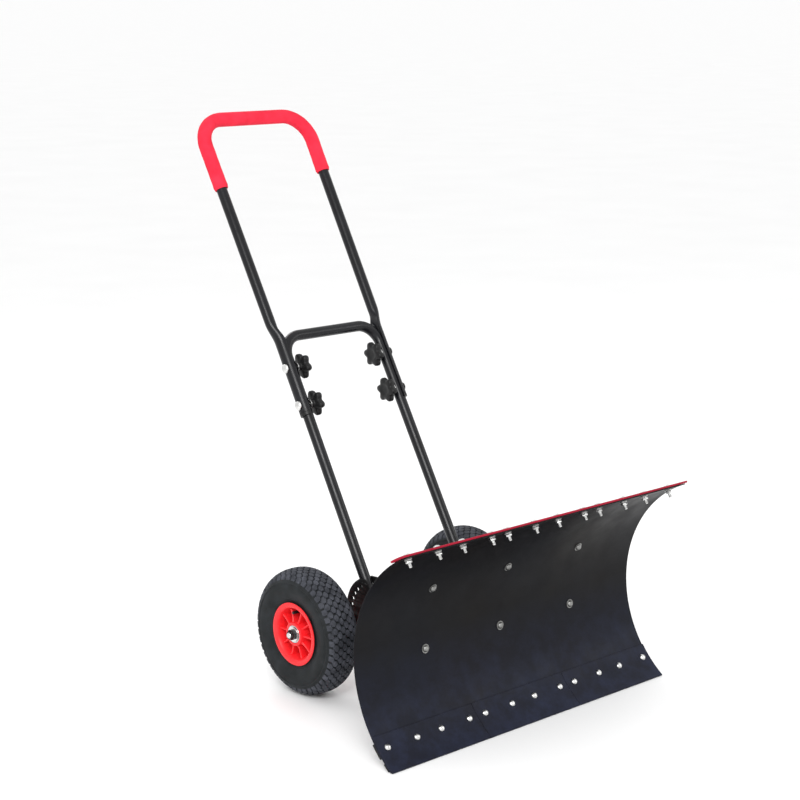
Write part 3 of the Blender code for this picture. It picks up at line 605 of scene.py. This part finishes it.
# ---------------------------------------------------------------- axle and wheels
def build_axle():
    face = WHEEL_X + HUB_HALF
    tip = face + AXLE_END
    bm = bmesh.new()
    half = [(0.001, AXLE_R), (face - 0.002, AXLE_R), (face - 0.001, AXLE_END_R)]
    half += thread(face - 0.0008, tip - 0.0008, AXLE_END_R, 0.0015, 0.0005)
    half += [(tip, 0.0042), (tip, 0)]
    turned(bm, [(-x, r) for x, r in reversed(half)] + half, AXLE, ACROSS, 32)
    piece("axle_rod", bm, ZINC, "chassis", ["axle"])
    inner = PLATE_XS["outer"] + PLATE_T / 2 + GAP
    for side, sign in SIDES.items():
        axis = ACROSS * sign
        bm = bmesh.new()
        washer(bm, AXLE, axis, inner, WHEEL_X - HUB_HALF - GAP, SPACER_R, AXLE_R + GAP)
        piece("spacer_" + side, bm, ZINC, "chassis", ["axle_spacer_" + side],
              edge=0.0004)
        bm = bmesh.new()
        washer(bm, AXLE, axis, face + GAP, face + 0.0023, 0.0150, AXLE_END_R + GAP)
        piece("wheel_washer_" + side, bm, ZINC, "chassis", ["axle_washer_" + side],
              edge=0.0003)
        bm = bmesh.new()
        top = face + 0.0100
        hex_nut(bm, AXLE, axis, face + 0.0026, top, 0.0180, AXLE_END_R + SEAT)
        collar = [(top, 0.0084), (top + 0.0014, 0.0080), (top + 0.0018, 0.0068), (top, 0.0066)]
        turned(bm, collar, AXLE, axis)
        piece("wheel_nut_" + side, bm, BLACK_STEEL, "chassis",
              ["axle_nut_" + side])


def hub_at(sign):
    return AXLE + Vector((sign * WHEEL_X, 0, 0))


def crown(x):
    """Outer radius of the tyre at a distance from its middle plane."""
    share = min(abs(x) / TYRE_HALF, 1.0) ** TYRE_POWER
    return TYRE_WAIST + (WHEEL_R - TYRE_WAIST) * (1 - share) ** (1 / TYRE_POWER)


def tread_block(bm, hub, sign, stations, middle):
    """A tapered rubber block. A station is (x, half its length in pitches, shift in pitches)."""
    pitch = tau / PITCHES
    rings = []
    for k, (x, half, shift) in enumerate(stations):
        end = k in (0, len(stations) - 1)
        inward = 0.0008 * (1 if k == 0 else -1) if end else 0.0
        base, top = crown(x) - GROOVE - 0.0012, crown(x) - (0.0006 if end else 0.0)
        ring = []
        for radius, share, at in ((base, half + 0.035, x), (top, half, x + inward),
                                  (top, -half, x + inward), (base, -half - 0.035, x)):
            turn = (middle + shift + share) * pitch
            ring.append(hub + Vector((sign * at, radius * sin(turn), radius * cos(turn))))
        rings.append(ring)
    skin(bm, rings, False)


def build_tyre(side, sign):
    """A hollow casing with a rib line on its walls, and rows of blocks over its crown."""
    hub = hub_at(sign)
    half = [(x, crown(x) - GROOVE)
            for x in (0.0, 0.005, 0.010, 0.015, 0.020, 0.025, 0.029, 0.033)]
    half += [(0.0355, crown(0.0355) - 0.0022), (0.0368, 0.1062), (0.0378, 0.1052),
             (0.0385, 0.1040), (0.0380, 0.1024), (0.0374, 0.1010), (0.0387, 0.0985),
             (TYRE_HALF, TYRE_WAIST), (0.0384, 0.0880), (0.0368, 0.0815), (0.0340, 0.0745),
             (0.0322, 0.0705), (0.0326, 0.0692), (0.0316, 0.0678), (0.0300, 0.0640),
             (0.0290, 0.0600), (0.0283, 0.0540)]
    half += [(0.0215, 0.0540), (0.0240, 0.0700), (0.0325, 0.0900), (0.0285, 0.1080),
             (0.0130, 0.1160)]
    bm = bmesh.new()
    turned(bm, half + [(-x, r) for x, r in reversed(half) if x > 0], hub, ACROSS * sign, 96)
    piece("tyre_casing_" + side, bm, TYRE, "wheel_" + side, ["tyre_" + side],
          sharp=38)
    bm = bmesh.new()
    for number, (phase, stations) in enumerate(TREAD_ROWS):
        for flip in (1, -1) if number else (1,):
            for k in range(PITCHES):
                places = [(flip * x, length, shift) for x, length, shift in stations]
                tread_block(bm, hub, sign, places, k + phase)
    # The tread blocks carry the painted light on the crown.
    piece("tyre_tread_" + side, bm, TREAD_PAINTED_LIGHT, "wheel_" + side, sharp=38)


def build_rim(side, sign):
    """Dished plastic rim with radial ribs on both faces and rolled flanges."""
    hub = hub_at(sign)
    seat_r, seat_x = BEARING_R + 0.0004, HUB_HALF - BEARING_W - GAP
    front = [(0.0334, RIM_R - 0.0004), (0.0346, RIM_R), (0.0352, RIM_R - 0.0008),
             (0.0354, RIM_R - 0.0028), (0.0352, RIM_R - 0.0068), (0.0342, 0.0535),
             (0.0318, 0.0516), (0.0250, 0.0494), (0.0160, 0.0478), (0.0090, 0.0464),
             (0.0058, 0.0440), (0.0046, 0.0400), (0.0042, 0.0300), (0.0060, 0.0262),
             (0.0110, 0.0248), (0.0325, 0.0236), (0.0338, 0.0230), (HUB_HALF, 0.0215),
             (HUB_HALF, seat_r), (seat_x, seat_r), (seat_x, 0.0130)]
    back = [(0.0190, 0.0518), (0.0280, 0.0536), (0.0300, 0.0570), (0.0306, 0.0600),
            (0.0318, RIM_R - 0.0016)]
    loop = front + [(-x, r) for x, r in reversed(front)]
    loop += [(-x, r) for x, r in reversed(back)] + back
    bm = bmesh.new()
    turned(bm, loop, hub, ACROSS * sign, 72)
    for face in (-1, 1):
        for k in range(RIM_RIBS):
            turn = tau * (k + 0.5) / RIM_RIBS
            out = Vector((0, sin(turn), cos(turn)))
            aside = ACROSS.cross(out)
            rings = []
            for radius, crest, half in ((0.0228, 0.0305, 0.0022), (0.030, 0.0285, 0.0020),
                                        (0.040, 0.0276, 0.0019), (0.0495, 0.0282, 0.0020)):
                flank = [(0.0030, half * 1.3), (crest - 0.0012, half), (crest, half * 0.45)]
                section = flank + [(x, -w) for x, w in reversed(flank)]
                middle = hub + out * radius
                rings.append([middle + ACROSS * (sign * face * x) + aside * w for x, w in section])
            skin(bm, rings, False)
    piece("dished_rim_" + side, bm, RIM, "wheel_" + side, ["rim_" + side], sharp=40)


def build_bearings(side, sign):
    """Two ball bearings, each with its races and a rubber shield, and the valve stem."""
    hub = hub_at(sign)
    for place, way in (("inner", -sign), ("outer", sign)):
        axis = ACROSS * way
        near, far = HUB_HALF - BEARING_W, HUB_HALF - GAP
        bm = bmesh.new()
        for outer, inner in ((BEARING_R, 0.0150), (0.0112, AXLE_R + 0.0001)):
            race = [(near, outer), (far - 0.0004, outer), (far, outer - 0.0004), (far, inner),
                    (near, inner)]
            turned(bm, race, hub, axis, 48)
        piece(f"ball_race_{place}_{side}", bm, STEEL, "wheel_" + side,
              [f"bearing_{place}_{side}"])
        bm = bmesh.new()
        shield = [(near + 0.001, 0.0149), (far - 0.0010, 0.0149), (far - 0.0006, 0.0130),
                  (far - 0.0010, 0.0113), (near + 0.001, 0.0113)]
        turned(bm, shield, hub, axis, 48)
        piece(f"ball_shield_{place}_{side}", bm, SEAL, "wheel_" + side)
    low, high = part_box("valve_stem_" + side)
    tip = (high.x - low.x) / 2
    profile = [(-tip, 0), (-tip, 0.0034), (-tip + 0.010, 0.0030), (tip - 0.012, 0.0026),
               (tip - 0.0115, 0.0032)]
    profile += [(tip - 0.0105 + 0.001 * k, 0.0032 - 0.0002 * (k % 2)) for k in range(9)]
    profile += [(tip - 0.0005, 0.0028), (tip, 0.0018), (tip, 0)]
    bm = bmesh.new()
    turned(bm, profile, (low + high) / 2, ACROSS * sign, 20)
    piece("valve_" + side, bm, KNOB, "wheel_" + side, ["valve_stem_" + side])


# ---------------------------------------------------------------- handle
def leg_point(x, length, back=0.0):
    return LEG_BASE + ACROSS * x + LEG_UP * length + LEG_BACK * back


def u_route(foot_x, foot_l, top_x, top_l, bend_r, steps=18):
    """(x, length) points of a U: up the left leg, round two bends, and down the right leg."""
    lean = atan2(top_x - foot_x, top_l - foot_l)
    corner = (-(top_x - bend_r), top_l - bend_r)
    bend = []
    for k in range(steps + 1):
        turn = pi + lean - (pi / 2 + lean) * k / steps
        bend.append((corner[0] + bend_r * cos(turn), corner[1] + bend_r * sin(turn)))
    half = [(-foot_x, foot_l)] + bend
    return half + [(-x, l) for x, l in reversed(half)]


def headings(spots):
    """The unit direction of the route at each of its spots."""
    ways = [(b - a).normalized() for a, b in zip(spots, spots[1:])]
    return [ways[0]] + [(a + b).normalized() for a, b in zip(ways, ways[1:])] + [ways[-1]]


def pipe_ring(spot, way, radius, sides, wobble=0.0):
    side = way.cross(LEG_BACK).normalized()
    ring = []
    for k in range(sides):
        turn = tau * k / sides
        reach = radius * (1 + wobble * sin(3 * turn + spot.x * 90 + spot.z * 70))
        ring.append(spot + (side * cos(turn) + LEG_BACK * sin(turn)) * reach)
    return ring


def lower_leg_x(length):
    share = (length - LOWER_FOOT_L) / (LOWER_TOP_L - LOWER_FOOT_L)
    return LOWER_FOOT_X + (LOWER_TOP_X - LOWER_FOOT_X) * share


def upper_leg_x(length):
    share = (length - UPPER_FOOT_L) / (UPPER_TOP_L - UPPER_FOOT_L)
    return UPPER_FOOT_X + (UPPER_TOP_X - UPPER_FOOT_X) * share


def build_lower_frame():
    route = u_route(LOWER_FOOT_X, LOWER_FOOT_L, LOWER_TOP_X, LOWER_TOP_L, LOWER_BEND_R)
    spots = [leg_point(x, length) for x, length in route]
    ways = headings(spots)
    bm = bmesh.new()
    outside = [pipe_ring(s, w, TUBE_R, 32) for s, w in zip(spots, ways)]
    inside = [pipe_ring(s, w, TUBE_BORE, 32) for s, w in zip(spots, ways)]
    skin(bm, outside + list(reversed(inside)), True)
    piece("lower_tube", bm, BLACK, "handle", ["lower_handle_frame"], sharp=50)


def cradle_ring(sign, length, blend, wall, half=16):
    """Section of an upper leg: a cradle round the lower tube at blend 0, a round tube at 1."""
    low_x, up_x = lower_leg_x(length), upper_leg_x(length)
    out_r, in_r = CRADLE_OUT_R - wall, CRADLE_IN_R + wall
    spread = radians(88) - wall / CRADLE_OUT_R
    ring = []
    for k in range(2 * half):
        outside = k < half
        share = (k if outside else k - half) / (half - 1)
        turn = spread * (1 - 2 * share) * (1 if outside else -1)
        radius = out_r if outside else in_r
        lip = 0.0010 * (abs(1 - 2 * share) ** 6) * (-1 if outside else 1)
        cradle = Vector((low_x + (radius + lip) * cos(turn), (radius + lip) * sin(turn)))
        round_turn = pi / 2 - pi * (k + 0.5) / half
        tube = Vector((cos(round_turn), sin(round_turn))) * (TUBE_R - wall) + Vector((up_x, 0))
        spot = cradle.lerp(tube, blend)
        ring.append(leg_point(sign * spot.x, length, spot.y))
    return ring


def upper_rings(wall, half=16):
    """Rings of the upper handle from foot to foot, set in by wall; each has 2 * half points."""
    stations = [(UPPER_FOOT_L, 0.0), (UPPER_FOOT_L + 0.07, 0.0), (CRADLE_TOP_L, 0.0)]
    for k in range(1, 9):
        share = k / 8
        length = CRADLE_TOP_L + (ROUND_L - CRADLE_TOP_L) * share
        stations.append((length, share * share * (3 - 2 * share)))
    left = [cradle_ring(-1, length, blend, wall, half) for length, blend in stations]
    right = [cradle_ring(1, length, blend, wall, half) for length, blend in reversed(stations)]
    route = u_route(UPPER_FOOT_X, UPPER_FOOT_L, UPPER_TOP_X, UPPER_TOP_L, UPPER_BEND_R)
    spots = [leg_point(x, length) for x, length in route]
    bend = []
    sides = 2 * half
    for spot, way in list(zip(spots, headings(spots)))[1:-1]:
        side = LEG_BACK.cross(way).normalized()
        turns = [pi / 2 - pi * (k + 0.5) / half for k in range(sides)]
        bend.append([spot + (side * -cos(t) + LEG_BACK * sin(t)) * (TUBE_R - wall) for t in turns])
    return left + bend + right


def build_upper_handle():
    bm = bmesh.new()
    skin(bm, upper_rings(0.0) + list(reversed(upper_rings(TUBE_WALL))), True)
    piece("upper_tube", bm, BLACK, "handle", ["upper_handle"], sharp=50)
    for side, sign in SIDES.items():
        bm = bmesh.new()
        top, bottom = UPPER_FOOT_L - GAP, UPPER_FOOT_L - 0.0075
        middle = (top + bottom) / 2
        skin(bm, [cradle_ring(sign, length, 0.0, 0.0) for length in (bottom, middle, top)], False)
        piece("end_cap_" + side, bm, KNOB, "handle", ["leg_end_cap_" + side],
              edge=0.0006)


def build_grip():
    """Foam sleeve slid over the bend: slightly uneven, pulled thin at its open ends."""
    bend = u_route(UPPER_FOOT_X, UPPER_FOOT_L, UPPER_TOP_X, UPPER_TOP_L, UPPER_BEND_R, 20)[1:-1]
    feet = [Vector((sign * upper_leg_x(low), low)) for sign, low in zip((-1, 1), GRIP_FOOT_LS)]
    first, last = Vector(bend[0]), Vector(bend[-1])
    straight = [k / GRIP_RINGS for k in range(GRIP_RINGS)]
    route = [feet[0].lerp(first, share) for share in straight] + bend
    route += [feet[1].lerp(last, share) for share in reversed(straight)]
    spots = [leg_point(x, length) for x, length in route]
    ways = headings(spots)
    count = len(spots)
    outside, inside = [], []
    for k, (spot, way) in enumerate(zip(spots, ways)):
        from_end = min(k, count - 1 - k)
        lip = {0: -0.0012, 1: 0.0004}.get(from_end, 0.0)
        radius = GRIP_R + lip + 0.00012 * sin(k * 1.7) + 0.0001 * sin(k * 0.6)
        outside.append(pipe_ring(spot, way, radius, 40, 0.006))
        inside.append(pipe_ring(spot, way, TUBE_R + 0.0006, 40))
    bm = bmesh.new()
    skin(bm, outside + list(reversed(inside)), True)
    sleeve = piece("grip_sleeve", bm, FOAM, "handle", ["foam_grip"], sharp=60)


def build_handle_bolts():
    """Carriage bolts through both tubes, with a washer under each knob."""
    seat = CRADLE_OUT_R + GAP
    inner = -TUBE_R - GAP
    washers = bmesh.new()
    for height, length in HANDLE_BOLT_LS.items():
        for side, sign in SIDES.items():
            spot = leg_point(sign * lower_leg_x(length), length)
            axis = ACROSS * sign
            bm = bmesh.new()
            bolt = [(seat + 0.0050, 0), (seat + 0.0050, 0.0015), (seat + 0.0047, 0.0040),
                    (seat + 0.0038, 0.0066), (seat + 0.0022, 0.0087), (seat + 0.0006, 0.0096),
                    (seat, 0.0096), (seat, HANDLE_BOLT_R)]
            bolt += thread(inner + 0.002, inner - 0.0150, HANDLE_BOLT_R) + [(inner - 0.0152, 0)]
            turned(bm, bolt, spot, axis)
            name = f"handle_bolt_{height}_{side}"
            piece("carriage_" + name, bm, ZINC, "handle", [name])
            washer(washers, spot, axis, inner, inner - KNOB_WASHER_T, 0.0098, HANDLE_BOLT_R + GAP)
    piece("knob_washers", washers, ZINC, "handle", edge=0.0003)


def build_pivot_bolts():
    """The bolts that the handle tilts on: a hexagon head outside, a lock nut inside."""
    inside, outside = PLATE_XS["inner"] - PLATE_T / 2, PLATE_XS["outer"] + PLATE_T / 2
    for side, sign in SIDES.items():
        axis = ACROSS * sign
        bm = bmesh.new()
        hex_nut(bm, PIVOT, axis, outside + GAP, outside + 0.0064, 0.0159, 0.0040)
        shank = [(outside + 0.0058, 0), (outside + 0.0058, 0.0045),
                 (outside + 0.0060, PIVOT_BOLT_R), (inside, PIVOT_BOLT_R)]
        shank += thread(inside - 0.0002, inside - 0.0118, PIVOT_BOLT_R) + [(inside - 0.0120, 0)]
        turned(bm, shank, PIVOT, axis)
        piece("pivot_screw_" + side, bm, ZINC, "chassis", ["pivot_bolt_" + side])
        bm = bmesh.new()
        hex_nut(bm, PIVOT, axis, inside - GAP, inside - 0.0080, 0.0160, 0.0052)
        piece("pivot_lock_nut_" + side, bm, ZINC, "chassis", ["pivot_nut_" + side])


def build_knobs():
    """Moulded star knobs: a neck, six rounded lobes, and a shallow dish in the outer face."""
    start = TUBE_R + GAP + KNOB_WASHER_T + GAP
    # (distance out from the washer, radius, how far the lobes stand out)
    shape = [(0.0, 0.0072, 0.0), (0.0, 0.0084, 0.0), (0.0060, 0.0088, 0.0),
             (0.0074, 0.0100, 0.10), (0.0078, 0.0175, 0.80), (0.0088, 0.0212, 1.0),
             (0.0106, 0.0228, 1.0), (0.0172, 0.0228, 1.0), (0.0197, 0.0218, 1.0),
             (0.0212, 0.0192, 0.85), (0.0219, 0.0150, 0.35), (0.0220, 0.0115, 0.0),
             (0.0208, 0.0100, 0.0), (0.0204, 0.0040, 0.0)]
    turns = [tau * k / (KNOB_LOBES * LOBE_SIDES) for k in range(KNOB_LOBES * LOBE_SIDES)]
    for height in HANDLE_BOLT_LS:
        for side, sign in SIDES.items():
            node = f"knob_{height}_{side}"
            spot = Vector(JOINTS[node + "_turn"]["pos_m"])
            rings = []
            for along, radius, lobed in shape:
                ring = []
                for turn in turns:
                    wave = 1 - 2 * abs(sin(KNOB_LOBES * turn / 2)) ** 2.4
                    reach = radius + 0.0034 * lobed * wave
                    out = Vector((-sign * (start + along), reach * cos(turn), reach * sin(turn)))
                    ring.append(spot + out)
                rings.append(ring)
            bm = bmesh.new()
            skin(bm, rings, False)
            piece("star_" + node, bm, KNOB, node, [node], sharp=50)


def dress_hidden_nodes():
    """CAD nodes that stay: only their materials change."""
    finishes = (("inner_tube_", SEAL), ("bearing_spacer_", STEEL), ("tilt_lock_pin_", ZINC))
    for prefix, mat in finishes:
        for side in SIDES:
            mesh = NODES[prefix + side].data
            mesh.materials.clear()
            mesh.materials.append(mat)
            mesh.shade_smooth()
            mesh.set_sharp_from_angle(angle=radians(35))


# ---------------------------------------------------------------- floor, light and camera
def build_stage():
    n = Nodes("pale_floor", 0.6)
    n.colour(n.mix(n.span(n.noise(2.0, 2), 0, 1), (0.90, 0.90, 0.90), (0.92, 0.92, 0.92)))
    bm = bmesh.new()
    bmesh.ops.create_grid(bm, x_segments=1, y_segments=1, size=FLOOR_HALF)
    mesh = bpy.data.meshes.new("floor")
    bm.to_mesh(mesh)
    bm.free()
    mesh.materials.append(n.mat)
    floor = bpy.data.objects.new("floor", mesh)
    floor.location.z = -0.0005
    bpy.context.collection.objects.link(floor)


def area_light(name, place, target, size, energy, colour=(1, 1, 1)):
    data = bpy.data.lights.new(name, "AREA")
    data.shape = "RECTANGLE"
    data.size, data.size_y = size
    data.energy = energy
    data.color = colour
    light = bpy.data.objects.new(name, data)
    light.location = place
    light.rotation_euler = (Vector(target) - Vector(place)).to_track_quat("-Z", "Y").to_euler()
    bpy.context.collection.objects.link(light)


def build_lights():
    world = bpy.data.worlds.new("studio")
    bpy.context.scene.world = world
    world.use_nodes = True
    background = world.node_tree.nodes["Background"]
    background.inputs["Color"].default_value = (1, 1, 1, 1)
    background.inputs["Strength"].default_value = 1.06
    area_light("key", (-2.1, -1.95, 2.1), (-0.1, 0.2, 0.6), (1.8, 1.0), 70)
    area_light("fill", (2.8, -2.6, 2.0), (0, -0.1, 0.4), (1.2, 1.2), 12)
    area_light("back", (0.8, 3.0, 2.6), (0, 0, 0.5), (2.0, 1.2), 20)


def build_camera():
    """The camera looks at a target from a distance, on a line given by two angles."""
    azimuth, elevation, roll = radians(-42.669), radians(12.1985), radians(0.2306)
    target = AXLE + Vector((0.0533, 0.0297, 0.5449 - WHEEL_R))
    back = Vector((sin(azimuth) * cos(elevation), -cos(azimuth) * cos(elevation), sin(elevation)))
    right = (-back).cross(Vector((0, 0, 1))).normalized()
    up = right.cross(-back)
    turned_right = right * cos(roll) + up * sin(roll)
    turned_up = up * cos(roll) - right * sin(roll)
    data = bpy.data.cameras.new("camera")
    data.lens = 85.336
    data.sensor_width = 36.0
    camera = bpy.data.objects.new("camera", data)
    axes = Matrix((turned_right, turned_up, back)).transposed().to_4x4()
    camera.matrix_world = Matrix.Translation(target + back * 3.8369) @ axes
    bpy.context.collection.objects.link(camera)
    bpy.context.scene.camera = camera
    bpy.context.scene.view_settings.view_transform = "Standard"


build_blade()
build_top_bolts()
build_face_bolts()
build_plates()
build_cross_angles()
build_axle()
for wheel_side, wheel_sign in SIDES.items():
    build_tyre(wheel_side, wheel_sign)
    build_rim(wheel_side, wheel_sign)
    build_bearings(wheel_side, wheel_sign)
build_lower_frame()
build_upper_handle()
build_grip()
build_handle_bolts()
build_pivot_bolts()
build_knobs()
dress_hidden_nodes()
build_stage()
build_lights()
build_camera()
